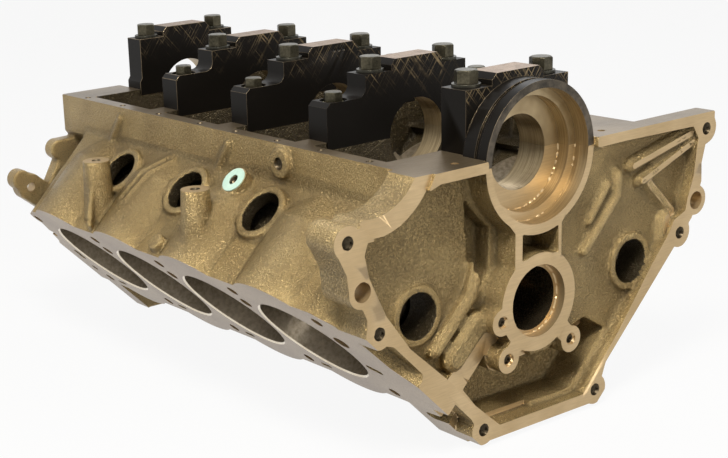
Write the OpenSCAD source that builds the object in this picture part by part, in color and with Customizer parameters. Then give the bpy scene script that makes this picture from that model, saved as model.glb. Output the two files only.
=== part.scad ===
// V8 engine block, bare, shown upside down: crank centreline is Y, sump rail faces +Z.
// Origin: crank centreline on the bell-housing face, which looks to -Y. Millimetres.

/* [Bores and banks] */
// Distance between neighbouring cylinder bores in a bank
bore_pitch = 111.25; // [109:0.25:114]
// Cylinder bore diameter
bore_d = 104.8; // [98:0.1:107]
// Deck height above the crank centreline
deck_h = 208.4; // [203:0.1:215]
// First bore of the starter-side bank ahead of the bell face
first_bore = 115.1; // [110:0.1:120]
// How much nearer the bell face the other bank's bores sit
bank_stagger = 16; // [10:0.5:20]
// Front face ahead of the last starter-side bore
front_overhang = 90.2; // [86:0.1:96]
// Radius of the cast humps round the bores
barrel_r = 58; // [56:0.5:62]
// Crest of the humps on the outer side, from the bore axis
crest_out = 86; // [84:0.5:88]
// Crest of the humps on the valley side, from the bore axis
crest_in = 80; // [78:0.5:81.5]
// Height along the bore where the humps start
barrel_start = 106; // [100:0.5:112]
// Length over which the humps rise to their crest
barrel_rise = 34; // [26:1:40]
// Inner wall plane of each bank from the bore axis
bank_inner = 68; // [66:0.5:72]
// Chamfer at the deck end of each bore
bore_chamfer = 1.4; // [0.5:0.1:2.5]

/* [Crankcase] */
// Top of the sump rail above the crank centreline
rail_top = 6.7; // [4:0.1:9]
// Half width over the sump rails
rail_half = 129; // [127:0.5:133]
// Width of the sump rail
rail_w = 14; // [11:0.5:16]
// Depth of the straight skirt below the crank centreline
skirt_drop = 26.5; // [22:0.5:30]
// Radius swept clear for the crank counterweights
crank_clear_r = 82; // [78:0.5:84]
// Thickness of the middle main webs
web_t = 24; // [20:0.5:27]
// Camshaft centreline below the crank centreline
cam_drop = 119.4; // [118:0.1:122]
// Outer radius of the cam tunnel
cam_tunnel_r = 36; // [34:0.5:39]
// Cam bearing bore diameter
cam_bore_d = 54; // [50:0.1:57]
// Counterbore diameter of the cam tunnel at the bell face
cam_plug_d = 60.8; // [59:0.1:64]
// Depth of that counterbore behind the cam boss face
cam_plug_depth = 9; // [5:0.5:12]
// Lifter bore diameter
lifter_d = 22.2; // [20:0.1:24]
// Half spacing of the two lifters of a cylinder
lifter_half = 22; // [19:0.5:24]

/* [Main bearings] */
// Main bore diameter
main_d = 62; // [58:0.1:64]
// Bell-end cap centre ahead of the bell face
rear_cap_y = 45; // [44:0.1:46]
// First wide cap centre ahead of the bell face
wide_cap_y = 159.3; // [157:0.1:162]
// Front cap centre behind the front face
front_cap_in = 29.6; // [28:0.1:32]
// Thickness of the main caps
cap_t = 24; // [20:0.5:25]
// Half width of the wide caps
wide_half = 100; // [97:0.5:104]
// Half width of the raised part of the caps
block_half = 57.5; // [55.5:0.5:60]
// Half width of the crown of the caps
crown_half = 28; // [25:0.5:28.5]
// Crown height above the parting line
crown_h = 67; // [64:0.5:72]
// Height of the shoulders that carry the inner bolts
shoulder_h = 57.5; // [54:0.5:61]
// Height of the outer wings of the wide caps
wing_h = 39; // [37:0.5:43]
// Radius of the scoop between a wing and the raised part
scoop_r = 8; // [6:0.5:10]
// Spot face height on the wings
wing_seat_h = 34.5; // [32:0.5:36.5]
// Inner cap bolts from the crank centreline
inner_bolt_x = 42; // [41.5:0.1:43.5]
// Outer cap bolts from the crank centreline
outer_bolt_x = 83; // [81:0.1:84]
// Foot half width of the front cap
foot_half = 60; // [59:0.5:63]
// Foot height of the front cap
foot_h = 14; // [10:0.5:20]
// Side play of a cap in its slot
cap_play = 0.1; // [0.05:0.01:0.2]

/* [Cap bolts] */
// Shank diameter of the inner bolts
inner_shank_d = 11.1; // [10:0.1:12]
// Shank diameter of the outer bolts
outer_shank_d = 9.5; // [8.5:0.1:10.5]
// Coolant slots ahead of each bore
slot_ahead = 33; // [31:0.5:35]
// Width across flats of the inner heads
inner_af = 17; // [15.5:0.1:18.5]
// Width across flats of the outer heads
outer_af = 14.3; // [13:0.1:15.5]
// Height of the inner heads
inner_head_h = 10.8; // [9:0.1:12]
// Height of the outer heads
outer_head_h = 9; // [7:0.1:10]
// Outside diameter of the inner washers
inner_washer_d = 23.5; // [21.8:0.1:25]
// Outside diameter of the outer washers
outer_washer_d = 20; // [18.5:0.1:22]
// Thickness of the washers
washer_t = 2.5; // [1.5:0.1:3]
// Thread length of the inner bolts in the block
thread_in = 42; // [35:1:48]
// Thread length of the outer bolts in the block
outer_thread_in = 28; // [22:1:31]
// Radial play of a bolt in its cap
bolt_play = 0.4; // [0.2:0.05:0.6]

/* [Crank seal ring] */
// Outer radius of the seal ring at the bell end
seal_out_r = 61; // [59.5:0.1:63]
// Inner radius of the seal seat
seal_r = 54.5; // [52:0.1:56]
// Ring face ahead of the bell face
ring_face = 4; // [3:0.1:6]
// Depth of the seal seat
seal_depth = 14; // [11:0.5:15]
// Radius of the step behind the seal seat
step_r = 47; // [44:0.5:49]
// Wall behind the step that the main bore starts in
step_back = 29.5; // [28:0.1:31]
// Groove depth round the outside of the ring
ring_groove = 1.6; // [0.8:0.1:2.4]

/* [Bell flange] */
// Thickness of the bell flange on the starter side
flange_t = 33; // [31.5:0.5:36]
// Floor of the bell cavity on the starter side
floor_near = 27; // [25:0.5:28]
// Floor of the bell cavity on the other side
floor_far = 12; // [10:0.5:14]
// Floor of the deep bowl under the cam boss
bowl_floor = 44; // [38:0.5:46]
// Thickness of the valley wall behind the bowl
bowl_back = 8; // [6:0.5:10]
// Radius of the bolt ears
ear_r = 13; // [12:0.1:14.5]
// Bell bolt hole diameter
bell_bolt_d = 11; // [9:0.1:12]
// Dowel hole diameter
dowel_d = 15.9; // [14:0.1:17]
// Half distance between the dowel holes
dowel_x = 190.5; // [189.5:0.1:191.5]
// Dowel holes below the crank centreline
dowel_drop = 69.4; // [68:0.1:71]
// Half distance between the two lowest bolt holes
low_bolt_x = 66.1; // [65:0.1:67]
// Lowest bolt holes inside the deck planes
low_bolt_in = 11.12; // [9:0.02:13]
// Least width of the flange rim inside the deck planes
rim_w = 18.2; // [16:0.1:20]
// Half width of the flat between the deck planes at the foot of the end walls
foot_flat = 65.7; // [60:0.1:72]
// Foot of the bell cavity above that flat
foot_rim = 15.5; // [13:0.1:18]
// Starter nose relief radius
starter_r = 50; // [47:0.5:52]
// Width of the relieved rim along the starter nose
starter_rim = 16; // [13:0.5:18]
// Thickness of the bell flange on the far side
flange_t_far = 20; // [18.5:0.5:22]

/* [Water jacket] */
// Half width of the jacket on its outer side
jacket_out = 64; // [60:0.5:65]
// Half width of the jacket on its inner side
jacket_in = 60; // [57:0.5:60]
// Height along the bore where the jacket starts
jacket_from = 122; // [119:0.5:126]
// Jacket behind the first bore
jacket_lead = 62; // [56:0.5:64]
// Jacket ahead of the last bore
jacket_tail = 46; // [40:0.5:60]
// Deck thickness above the jacket
deck_t = 11; // [9:0.5:14]
// Wall of the barrels outside the jacket
barrel_wall = 8; // [6.5:0.1:10]
// Cylinder wall
liner_wall = 6.4; // [5:0.1:8]

/* [Side openings and bosses] */
// Core hole diameter
core_d = 38; // [35:0.1:40]
// Outside diameter of the raised ring round a core hole
core_ring_d = 51; // [48:0.5:54]
// Core holes along the bore direction
core_h = 142; // [140:0.5:145]
// Face of the core hole rings from the bore axis
core_face = 78; // [76.5:0.1:80]
// End core holes either side of the crank centreline
end_core_x = 115.7; // [114:0.1:117]
// End core holes below the crank centreline
end_core_drop = 110.7; // [110:0.1:112]
// How far the end core rings stand off the cavity floor
end_collar = 5; // [2:0.5:8]
// Tops of the upright side bosses below the crank centreline
boss_drop = 31; // [27:0.5:34]
// Height of the upright side bosses down to the flank
boss_h = 56; // [50:0.5:60]
// Thickness of their fins
fin_t = 5; // [4:0.5:8]
// Radius of the upright side bosses
boss_r = 12.5; // [11:0.1:14]
// Hole diameter of the upright side bosses
boss_hole_d = 9; // [7:0.1:11]
// Pad boss face beyond the flank of the hump beside it
pad_stand = 0.14; // [0.1:0.02:3]
// Pad boss ahead of the first bore
pad_ahead = 102.2; // [98:0.2:106]
// Pad boss above the foot of the skirt, along the bore direction
pad_up = 13.7; // [12:0.1:18]
// Outside diameter of the pad ring on its boss
pad_d = 23.5; // [20:0.1:25]
// Hole diameter of the pad ring
pad_hole_d = 9.5; // [8:0.1:12]
// Thickness of the pad ring
pad_t = 1.2; // [0.6:0.1:2]

/* [Holes] */
// Deck bolt hole diameter
deck_bolt_d = 11; // [9:0.1:12.5]
// Deck bolt rows either side of the bore axis
deck_bolt_a = 55.6; // [54.5:0.1:56.5]
// Radius of the columns round the deck bolts
deck_col_r = 11; // [9:0.1:12]
// Depth of the deck bolt holes
deck_bolt_depth = 45; // [30:1:60]
// Sump rail hole diameter
rail_bolt_d = 6.6; // [5:0.1:8]
// Sump rail holes inward of the rail's outer edge
rail_bolt_in = 7; // [6:0.1:8]
// Depth of the sump rail holes
rail_bolt_depth = 18; // [10:1:22]
// Thickness of the front lugs
lug_t = 14; // [11:0.5:18]
// Bolt holes for the front cover
cover_bolt_d = 8; // [6:0.1:9]
// Depth of the front cover holes
cover_depth = 20; // [14:0.5:26]
// Diameter of the two holes into the jackets at the front
front_core_d = 28; // [24:0.5:32]
// Depth of those two holes
front_core_depth = 80; // [60:1:90]
// Water hole diameter in the deck
water_d = 12; // [8:0.5:15]

/* [Hidden] */

round_fn = 48;
hex_sides = 6;
eps = 0.5;
lot = 400;
bores = 4;
half_turn = 180;
quarter = 90;
lean = 45;
s45 = sin(lean);

block_len = first_bore + (bores - 1) * bore_pitch + front_overhang;
front_cap_y = block_len - front_cap_in;
bank_outer = (rail_half - skirt_drop) * s45;
skirt_h = (rail_half + skirt_drop) * s45;
rail_in = rail_half - rail_w;
web_ys = [for (k = [0:bores - 2]) wide_cap_y + k * bore_pitch];
cap_ys = concat([rear_cap_y], web_ys, [front_cap_y]);
deck_rows = [for (k = [0:bores]) first_bore + (k - 1 / 2) * bore_pitch];
core_rows = [for (k = [1:bores - 1]) first_bore + (k - 1 / 2) * bore_pitch];
low_bolt_drop = (deck_h - low_bolt_in) / s45 - low_bolt_x;
bell_holes = [[-203.6, -29.5], [200.6, -7.5], [-174.9, -105.3], [170.4, -94.6],
  [-low_bolt_x, -low_bolt_drop], [low_bolt_x, -low_bolt_drop]];
dowels = [[-dowel_x, -dowel_drop], [dowel_x, -dowel_drop]];
starter_at = [-178, 33];
neck_half = 28;
rib_foot = 3.5;
cam_boss_r = cam_plug_d / 2 + 12;
lobe_r = 11.5;
lobe_web = 16;
lug_hole = [-181, -79.5];
cover_holes = [[106, 88], [84, 122], [60, 60]];
front_core = [108, 106];
rail_rows = [69, 129, 187, 246, 301, 369, 433, 499];
lobes = [[-41.2, -9.3], [-34.2, -42.8], [39, -42.3]];
valley_wall_t = 24;
face_step = 2;
bank_root = 12;
column_wall = 4.5;
pill_y = 340;
pill_h = 143.5;
pill_proud = 2;
button_y = 272;
button_h = deck_h - 11.4;
button_r = 8;
ledge_out = 98;
ledge_y = 50;
ledge_h = 104;
ledge_t = 46;
deck_lip = 12;
front_wall_in = 39;
skirt_boss_z = -9;
skirt_boss_r = 12.5;
skirt_hole_d = 11;
rear_rail_hole = [83, 15.4];
hump_rise_r = 16;
crown_bevel = 5;
wing_bevel = 4;
valley_low = deck_h / s45 - foot_flat;
pad_rise = (skirt_h + pad_up + pad_d / 2 - barrel_start) / barrel_rise;
pad_flank = crest_out - hump_rise_r * (1 - pad_rise);
pad_at = [pad_flank + pad_stand, pad_ahead, skirt_h + pad_up];
boss_a = [-181.5, 389];
boss_b = [-181.5, 226];
skirt_boss_y = 171;

// Outlines in X and Z, seen from the front of the engine.
flange_points = [[-214, -36], [-205, -54], [-203, -70], [-190, -84], [-186.5, -92], [-187, -105],
  [-167, -117], [-161, -119], [-80, -200], [-66, -224], [66, -224], [79, -191], [153, -117],
  [166, -104], [186, -84], [197, -53], [196, -37], [201, -18], [211, -10], [211, rail_top],
  [-140, rail_top], [-188, -17]];
flange_bump = [[-132, -149], [-133, -163], [-124, -171], [-109, -171], [-104, -185], [-98, -177],
  [-120, -150]];
cavity_points = [[-112, -2], [-150, -14], [-182, -26], [-188, -42], [-184, -60], [-168, -93],
  [-144, -125], [-103, -162], [-83, -183], [-48, -213.5], [50, -214.5], [95, -166],
  [134, -117], [157, -91], [162, -82], [177, -76], [179, -66], [186, -47], [190, -14],
  [183, -3], [98, -1.7], [60, -2]];
neck_points = [[-38, -46], [-neck_half, -58], [-neck_half, -88], [-41, -cam_drop],
  [41, -cam_drop], [neck_half - 3, -88], [neck_half - 3, -58], [36, -46]];
window_points = [[-20, -56], [21, -56], [22, -82], [-20, -82]];
pocket_points = [[-62, -26], [-47, -44], [-34, -56], [-34, -90], [-46, -108], [-58, -84]];
bowl_points = [[-72, -182], [-50, -209], [48, -210], [90, -166], [64, -150], [44, -156],
  [20, -168], [-20, -170], [-48, -158]];
lug_points = [[-120, -30], [-146, -56], [-164, -88], [-172, -104], [-150, -126], [-110, -110]];

// Ribs in the bell cavity: two ends, width and how near the bell face they rise.
ribs = [[[97, -30], [97, -50], 9, 10], [[97, -50], [58, -90], 9, 10],
  [[86, -34], [64, -68], 6, 11], [[112, -26], [193, -8], 5, 3], [[124, -41], [198, -14], 5, 3],
  [[136, -46], [166, -75], 6, 6], [[158, -80], [154, -113], 6, 4], [[122, -144], [103, -164], 7, 6],
  [[-51, -76], [-61, -106], 6, 16], [[-61, -106], [-99, -143], 6, 16],
  [[-56, -131], [-80, -153], 16, 14]];

// Profile in X and Z, run along Y from one station to another.
module along(y0, y1) {
  translate([0, y1, 0]) rotate([quarter, 0, 0]) linear_extrude(y1 - y0) children();
}

// Bank frame: X outward across the bank, Y forward, Z along the bores to the deck.
module near_bank() { rotate([0, half_turn + lean, 0]) children(); }
module far_bank() { mirror([1, 0, 0]) rotate([0, half_turn + lean, 0]) children(); }

module drill(d, p, q) { translate([0, 0, p]) cylinder(d = d, h = q - p, $fn = round_fn); }

// Straight bar with round ends between two points of a plane.
module bar(p, q, w) {
  for (e = [p, q]) translate(e) circle(d = w + eps, $fn = round_fn);
  translate(p) rotate(atan2(q[1] - p[1], q[0] - p[0])) translate([0, -w / 2])
    square([norm(q - p), w]);
}

// Region of X and Z between the two deck planes, from a margin inside them and above a foot.
module deck_limits(margin, foot) {
  d = (deck_h - margin) / s45;
  flat = d - foot;
  polygon([[-flat, -foot], [flat, -foot], [d, 0], [d, lean], [-d, lean], [-d, 0]]);
}

module starter_arc(r) { translate(starter_at) circle(r = r, $fn = round_fn); }

// Outer edge of the bell flange.
module flange_outline() {
  intersection() {
    difference() {
      union() {
        polygon(flange_points);
        for (p = concat(bell_holes, dowels)) translate(p) circle(r = ear_r, $fn = round_fn);
        polygon(flange_bump);
      }
      starter_arc(starter_r);
    }
    deck_limits(0, valley_low);
  }
}

// Inner edge of the rim.
module cavity_outline() {
  difference() {
    intersection() {
      deck_limits(rim_w, valley_low - foot_rim);
      polygon(cavity_points);
    }
    starter_arc(starter_r + starter_rim);
  }
}

// Lower half of the seal ring, neck, cam boss and its three lugs.
module rear_face_outline() {
  difference() {
    union() {
      intersection() {
        circle(r = seal_out_r, $fn = round_fn);
        translate([-lot / 2, -lot]) square([lot, lot]);
      }
      polygon(neck_points);
      translate([0, -cam_drop]) circle(r = cam_boss_r, $fn = round_fn);
      for (p = lobes) {
        translate([p[0], p[1] - cam_drop]) circle(r = lobe_r, $fn = round_fn);
        translate([0, -cam_drop]) rotate(atan2(p[1], p[0]))
          translate([0, -lobe_web / 2]) square([norm(p), lobe_web]);
      }
    }
    oil_window();
  }
}

module oil_window() {
  difference() {
    polygon(window_points);
    circle(r = seal_out_r + 2, $fn = round_fn);
    translate([0, -cam_drop]) circle(r = cam_boss_r - 2, $fn = round_fn);
  }
}

module crankcase_outline() {
  polygon([[-rail_half, rail_top], [-rail_half, -skirt_drop - 4], [-36, -157],
    [36, -157], [rail_half, -skirt_drop - 4], [rail_half, rail_top]]);
}

module crankcase_body() {
  along(floor_near + 1, block_len) crankcase_outline();
  along(flange_t_far - 2, floor_near + 2) intersection() { crankcase_outline(); far_side(); }
  translate([0, floor_near + 1, -cam_drop]) rotate([-quarter, 0, 0])
    cylinder(r = cam_tunnel_r, h = block_len - floor_near - 2, $fn = round_fn);
}

// Hump round one bore: it rises to its crest, then runs straight to the deck.
module hump(r, top) {
  cylinder(r1 = r - hump_rise_r, r2 = r, h = barrel_rise, $fn = round_fn);
  translate([0, 0, barrel_rise])
    cylinder(r = r, h = top - barrel_start - barrel_rise, $fn = round_fn);
}

// One bank: slab, barrels, deck edge towards the bell and lifter ledge.
module bank_body(lead) {
  y_end = block_len - face_step;
  y_start = floor_near + 2 - lead / 2 - lead / 8;
  translate([0, 0, skirt_h - bank_root]) linear_extrude(deck_h - skirt_h + bank_root)
    polygon(concat(
      [[-bank_inner, y_start], [46, y_start], [46, 31], [62, 33 - lead / 2], [bank_outer, 55 - lead]],
      [for (q = [[bank_outer, 43], [68, 35], [35, 23], [7.5, 9], [0, 0], [-bank_inner, 0]])
        [q[0], y_end - q[1]]]));
  translate([deck_bolt_a, deck_rows[bores] - lead, deck_h - deck_bolt_depth - bank_root])
    cylinder(r = deck_bolt_d / 2 + column_wall, h = deck_bolt_depth + bank_root, $fn = round_fn);
  for (k = [0:bores - 1], a = [crest_out - barrel_r, barrel_r - crest_in])
    translate([a, first_bore - lead + k * bore_pitch, barrel_start]) hump(barrel_r, deck_h);
  translate([-ledge_out, ledge_y, ledge_h])
    cube([ledge_out - bank_inner + 4, block_len - 2 * ledge_y + 8, ledge_t]);
}

module deck_edge() {
  translate([0, 0, deck_h - deck_lip]) linear_extrude(deck_lip)
    polygon([[-60, 0], [-15, 0], [8, 14], [37, 18], [46, 31], [-60, 31]]);
}

module valley_end(y0, t) {
  d = deck_h / s45;
  along(y0, y0 + t)
    polygon([[-36, -130], [-110, 110 - d], [valley_low - d, -valley_low],
      [d - valley_low, -valley_low], [110, 110 - d], [36, -130]]);
}

module near_side() { translate([-lot, -lot]) square([lot, 2 * lot]); }
module far_side() { translate([-1, -lot]) square([lot, 2 * lot]); }

module flange_body() {
  along(0, flange_t_far) difference() { flange_outline(); cavity_outline(); }
  along(eps, flange_t) intersection() {
    difference() { flange_outline(); cavity_outline(); }
    near_side();
  }
  along(floor_near, flange_t) intersection() { flange_outline(); near_side(); }
  along(floor_far, flange_t_far) intersection() { flange_outline(); far_side(); }
}

// Deep bowl between the cam boss and the foot of the flange.
module bowl_outline() {
  polygon(bowl_points);
}

module bell_ribs() {
  for (r = ribs, foot = [0, 1])
    along(r[3] + foot * rib_foot, floor_near + 1) bar(r[0], r[1], r[2] + 2 * foot * rib_foot);
}

module end_cores(d, grow) {
  translate([-end_core_x, floor_near - end_collar + grow, -end_core_drop])
    rotate([-quarter, 0, 0]) cylinder(d = d, h = lean, $fn = round_fn);
  translate([end_core_x, floor_far - end_collar + grow, -end_core_drop])
    rotate([-quarter, 0, 0]) cylinder(d = d, h = lean, $fn = round_fn);
}

// Upright boss on the flank; each fin has its heading, reach and drop.
module upright_boss(at, fins) {
  translate([at[0], at[1], -boss_drop]) {
    translate([0, 0, -boss_h]) cylinder(r1 = boss_r + 2.5, r2 = boss_r, h = boss_h, $fn = round_fn);
    for (f = fins) rotate([0, 0, f[0]]) translate([0, fin_t / 2, 0]) rotate([quarter, 0, 0])
      linear_extrude(fin_t) polygon([[0, -8], [boss_r, -8], [boss_r + 1, -20], [f[1], -f[2]],
        [f[1] - 8, -f[2] - 8], [0, -f[2] - 8]]);
  }
}

module pill(w) { bar([pill_y + 6, pill_h + 26], [pill_y - 6, pill_h - 26], w); }

module side_bosses() {
  near_bank() {
    for (y = core_rows) translate([0, y, core_h]) rotate([0, quarter, 0])
      cylinder(d = core_ring_d, h = core_face, $fn = round_fn);
    translate([0, first_bore + pad_at[1], pad_at[2]]) rotate([0, quarter, 0])
      cylinder(r = pad_d / 2 + 1, h = pad_at[0], $fn = round_fn);
    intersection() {
      rotate([quarter, 0, quarter]) linear_extrude(lot) difference() {
        pill(13);
        pill(7);
      }
      translate([crest_out - barrel_r, first_bore + 2 * bore_pitch, barrel_start])
        hump(barrel_r + pill_proud, deck_h);
    }
    translate([bank_outer - pill_proud, button_y, button_h]) rotate([0, quarter, 0])
      cylinder(r = button_r, h = 5 * pill_proud, $fn = round_fn);
  }
  far_bank() for (y = core_rows) translate([0, y - bank_stagger, core_h]) rotate([0, quarter, 0])
    cylinder(d = core_ring_d, h = core_face, $fn = round_fn);
  upright_boss(boss_a, [[212, 25, 57]]);
  upright_boss(boss_b, [[250, 17, 44], [96, 38, 50]]);
  translate([-rail_half + 12, skirt_boss_y, skirt_boss_z]) rotate([0, -quarter, 0])
    cylinder(r1 = skirt_boss_r + 3, r2 = skirt_boss_r, h = 17, $fn = round_fn);
}

// Ridges on the straight skirt, from the rail down to the flank.
module skirt_ridges() {
  translate([-rail_half - 3, 0, 0]) rotate([quarter, 0, quarter]) linear_extrude(6) {
    bar([427, -4], [455, -42], 5);
    bar([248, -4], [274, -42], 5);
  }
}

module front_lugs() {
  along(block_len - lug_t, block_len) {
    bar([-116, -46], [-144, -47], 20);
    polygon(lug_points);
    bar([-158, -98], lug_hole, 27);
    bar(lug_hole, [-190, -71], 20);
  }
}

// Everything cut to leave the open crankcase between the webs.
module bay_profile() {
  circle(r = crank_clear_r, $fn = round_fn);
  translate([-rail_in, -skirt_drop + 4]) square([2 * rail_in, lot]);
  for (m = [-1, 1]) rotate(m * lean) translate([-bore_d / 2 + 4, -92])
    square([bore_d - 8, 92]);
}

module crankcase_cuts() {
  y_lo = concat([rear_cap_y], web_ys);
  y_hi = concat(web_ys, [front_cap_y]);
  for (k = [0:bores - 1]) along(y_lo[k] + web_t / 2, y_hi[k] - web_t / 2) bay_profile();
  for (y = web_ys) along(y - web_t / 2 - eps, y + web_t / 2 + eps)
    translate([-wide_half - cap_play, 0]) square([2 * (wide_half + cap_play), lot]);
  along(step_back, rear_cap_y + web_t / 2 + eps)
    translate([-block_half - cap_play, 0]) square([2 * (block_half + cap_play), lot]);
  along(-eps, step_back + eps)
    translate([-seal_out_r - cap_play, 0]) square([2 * (seal_out_r + cap_play), lot]);
  along(front_cap_y - web_t / 2 - eps, block_len + eps)
    translate([-foot_half - cap_play, 0]) square([2 * (foot_half + cap_play), lot]);
}

module crank_line_cuts() {
  rotate([-quarter, 0, 0]) {
    drill(main_d, 0, block_len + eps);
    drill(2 * seal_r, -eps, ring_face + seal_depth);
    drill(2 * step_r, 0, step_back);
    drill(main_d + 8, front_cap_y + cap_t / 2, block_len + eps);
  }
}

module cam_cuts() {
  translate([0, 0, -cam_drop]) rotate([-quarter, 0, 0]) {
    drill(cam_bore_d, 0, block_len + eps);
    drill(cam_plug_d, 0, ring_face + cam_plug_depth);
  }
  for (p = lobes) translate([p[0], 0, p[1] - cam_drop]) rotate([-quarter, 0, 0]) {
    drill(8, 0, 25);
    drill(11, 0, ring_face + 2);
  }
}

module jacket(lead) {
  bore_ys = [for (k = [0:bores - 1]) first_bore - lead + k * bore_pitch];
  row_ys = [for (y = deck_rows) y - lead];
  difference() {
    union() {
      translate([-jacket_in, bore_ys[0] - jacket_lead, jacket_from])
        cube([jacket_in + jacket_out, (bores - 1) * bore_pitch + jacket_lead + jacket_tail,
          deck_h - deck_t - jacket_from]);
      for (y = bore_ys) translate([crest_out - barrel_r, y, barrel_start]) difference() {
        hump(barrel_r - barrel_wall, deck_h - deck_t);
        cylinder(r = lot, h = jacket_from - barrel_start);
      }
    }
    for (y = bore_ys) translate([0, y, 0]) cylinder(r = bore_d / 2 + liner_wall, h = lot,
      $fn = round_fn);
    for (y = row_ys, m = [-1, 1]) translate([m * deck_bolt_a, y, 0])
      cylinder(r = deck_col_r, h = lot, $fn = round_fn);
  }
}

module bank_cuts(lead) {
  for (k = [0:bores - 1]) translate([0, first_bore - lead + k * bore_pitch, 0]) {
    drill(bore_d, 84, deck_h + eps);
    translate([0, 0, deck_h - bore_chamfer])
      cylinder(r1 = bore_d / 2, r2 = bore_d / 2 + 2 * bore_chamfer, h = 2 * bore_chamfer,
        $fn = round_fn);
    for (m = [-1, 1]) translate([-cam_drop * s45, m * lifter_half, 0])
      drill(lifter_d, cam_drop * s45, deck_h - 40);
  }
  for (y = deck_rows, m = [-1, 1]) translate([m * deck_bolt_a, y - lead, 0])
    drill(deck_bolt_d, deck_h - deck_bolt_depth, deck_h + eps);
  for (y = core_rows) {
    translate([37, y - lead, 0]) drill(water_d, jacket_from + 20, deck_h + eps);
    translate([0, y - lead, core_h]) rotate([0, quarter, 0])
      drill(core_d, jacket_out - 12, core_face + eps);
  }
}

// Coolant slots and the blind holes at the ends of a deck.
module deck_slots(lead) {
  translate([0, 0, deck_h - deck_t - 2]) linear_extrude(deck_t + 2 + eps) {
    for (k = [0:bores - 1]) translate([-jacket_in + 3, first_bore - lead + slot_ahead + k * bore_pitch])
      bar([0, -4], [0, 4], 5);
    translate([26.5, 55.6 - lead / 2]) circle(d = 15, $fn = round_fn);
    translate([0, -lead / 2]) bar([-15, 45], [-12, 54], 7);
    translate([0, block_len]) {
      translate([25.3, -24.7]) circle(d = 10, $fn = round_fn);
      bar([-18, -26.5], [-9, -26.5], 8);
      translate([-41, -22]) circle(d = 8, $fn = round_fn);
    }
  }
}

module rail_holes() {
  for (y = rail_rows, m = [-1, 1]) translate([m * (rail_half - rail_bolt_in), y, rail_top])
    drill(rail_bolt_d, -rail_bolt_depth, eps);
  for (m = [-1, 1]) translate([m * rear_rail_hole[0], rear_rail_hole[1], rail_top])
    drill(rail_bolt_d, -rail_bolt_depth + 4, eps);
}

module bell_cuts() {
  rotate([-quarter, 0, 0]) {
    for (p = bell_holes) translate([p[0], -p[1], 0]) drill(bell_bolt_d, -eps, flange_t + eps);
    for (p = dowels) translate([p[0], -p[1], 0]) drill(dowel_d, -eps, flange_t + eps);
  }
  along(-eps, 3) intersection() {
    starter_arc(starter_r + starter_rim);
    polygon([[-210, 0], [-178, -32], [-110, -32], [-110, lean], [-210, lean]]);
  }
  along(ring_face, flange_t + 2) oil_window();
  along(0, bowl_floor) {
    polygon(pocket_points);
    difference() {
      intersection() { bowl_outline(); cavity_outline(); }
      translate([0, -cam_drop]) circle(r = cam_boss_r - 1, $fn = round_fn);
      for (p = lobes) translate([p[0], p[1] - cam_drop]) circle(r = lobe_r + 1, $fn = round_fn);
    }
  }
  along(-eps, ring_face) circle(r = seal_out_r + 1, $fn = round_fn);
}

module cap_bolt_holes() {
  for (y = cap_ys, m = [-1, 1]) translate([m * inner_bolt_x, y, 0])
    drill(inner_shank_d + cap_play, -thread_in - 2, eps);
  for (y = web_ys, m = [-1, 1]) translate([m * outer_bolt_x, y, 0])
    drill(outer_shank_d + cap_play, -outer_thread_in - 2, eps);
}

module boss_holes() {
  near_bank() translate([0, first_bore + pad_at[1], pad_at[2]]) rotate([0, quarter, 0])
    drill(pad_hole_d, pad_at[0] - 16, pad_at[0] + eps);
  for (b = [boss_a, boss_b]) translate([b[0], b[1], -boss_drop]) drill(boss_hole_d, -25, eps);
  translate([-rail_half, skirt_boss_y, skirt_boss_z]) rotate([0, -quarter, 0])
    drill(skirt_hole_d, -12, 8);
  rotate([-quarter, 0, 0]) {
    translate([lug_hole[0], -lug_hole[1], 0])
      drill(bell_bolt_d - 2, block_len - lug_t - eps, block_len + eps);
    for (p = cover_holes, m = [-1, 1]) translate([m * p[0], p[1], 0])
      drill(cover_bolt_d, block_len - cover_depth, block_len + eps);
    for (m = [-1, 1]) translate([m * front_core[0], front_core[1], 0])
      drill(front_core_d, block_len - front_core_depth, block_len + eps);
  }
}

module cylinder_block() color("tan") {
  difference() {
    union() {
      crankcase_body();
      near_bank() { bank_body(0); deck_edge(); }
      far_bank() bank_body(bank_stagger);
      valley_end(block_len - front_wall_in, valley_wall_t);
      valley_end(flange_t_far - 2, bowl_floor + bowl_back - flange_t_far + 2);
      flange_body();
      along(ring_face, floor_near + 1) rear_face_outline();
      bell_ribs();
      end_cores(core_d + 12, 0);
      along(floor_near - 1, floor_near + 1) translate([-end_core_x, -end_core_drop])
        circle(r = core_d / 2 + 9, $fn = round_fn);
      side_bosses();
      skirt_ridges();
      front_lugs();
    }
    crankcase_cuts();
    crank_line_cuts();
    cam_cuts();
    near_bank() {
      bank_cuts(0);
      jacket(0);
      deck_slots(0);
      translate([0, 0, deck_h - 8]) linear_extrude(8 + eps) bar([-81, 34], [-77, 5], 11);
      translate([-125.3, 0, 161]) rotate([-quarter, 0, 0]) drill(8, 0, 20);
    }
    far_bank() {
      bank_cuts(bank_stagger);
      jacket(bank_stagger);
      deck_slots(bank_stagger);
    }
    end_cores(core_d, -1);
    rail_holes();
    bell_cuts();
    cap_bolt_holes();
    boss_holes();
  }
}

// Right-hand side of the raised part, from the shoulder to the crown.
function crown_side() = [[block_half, shoulder_h], [crown_half + 1, shoulder_h],
  [crown_half + 1, crown_h - crown_bevel], [crown_half + 1 - crown_bevel, crown_h]];

// Closed symmetric outline from the points of its right-hand side, foot first.
module both_sides(side) {
  n = len(side);
  polygon(concat(side, [for (i = [1:n]) [-side[n - i][0], side[n - i][1]]]));
}

module cap_block_outline() {
  both_sides(concat([[block_half, 0]], crown_side()));
}

module front_cap_outline() {
  both_sides(concat([[foot_half, 0], [foot_half, foot_h], [block_half, foot_h + 4]], crown_side()));
}

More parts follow.
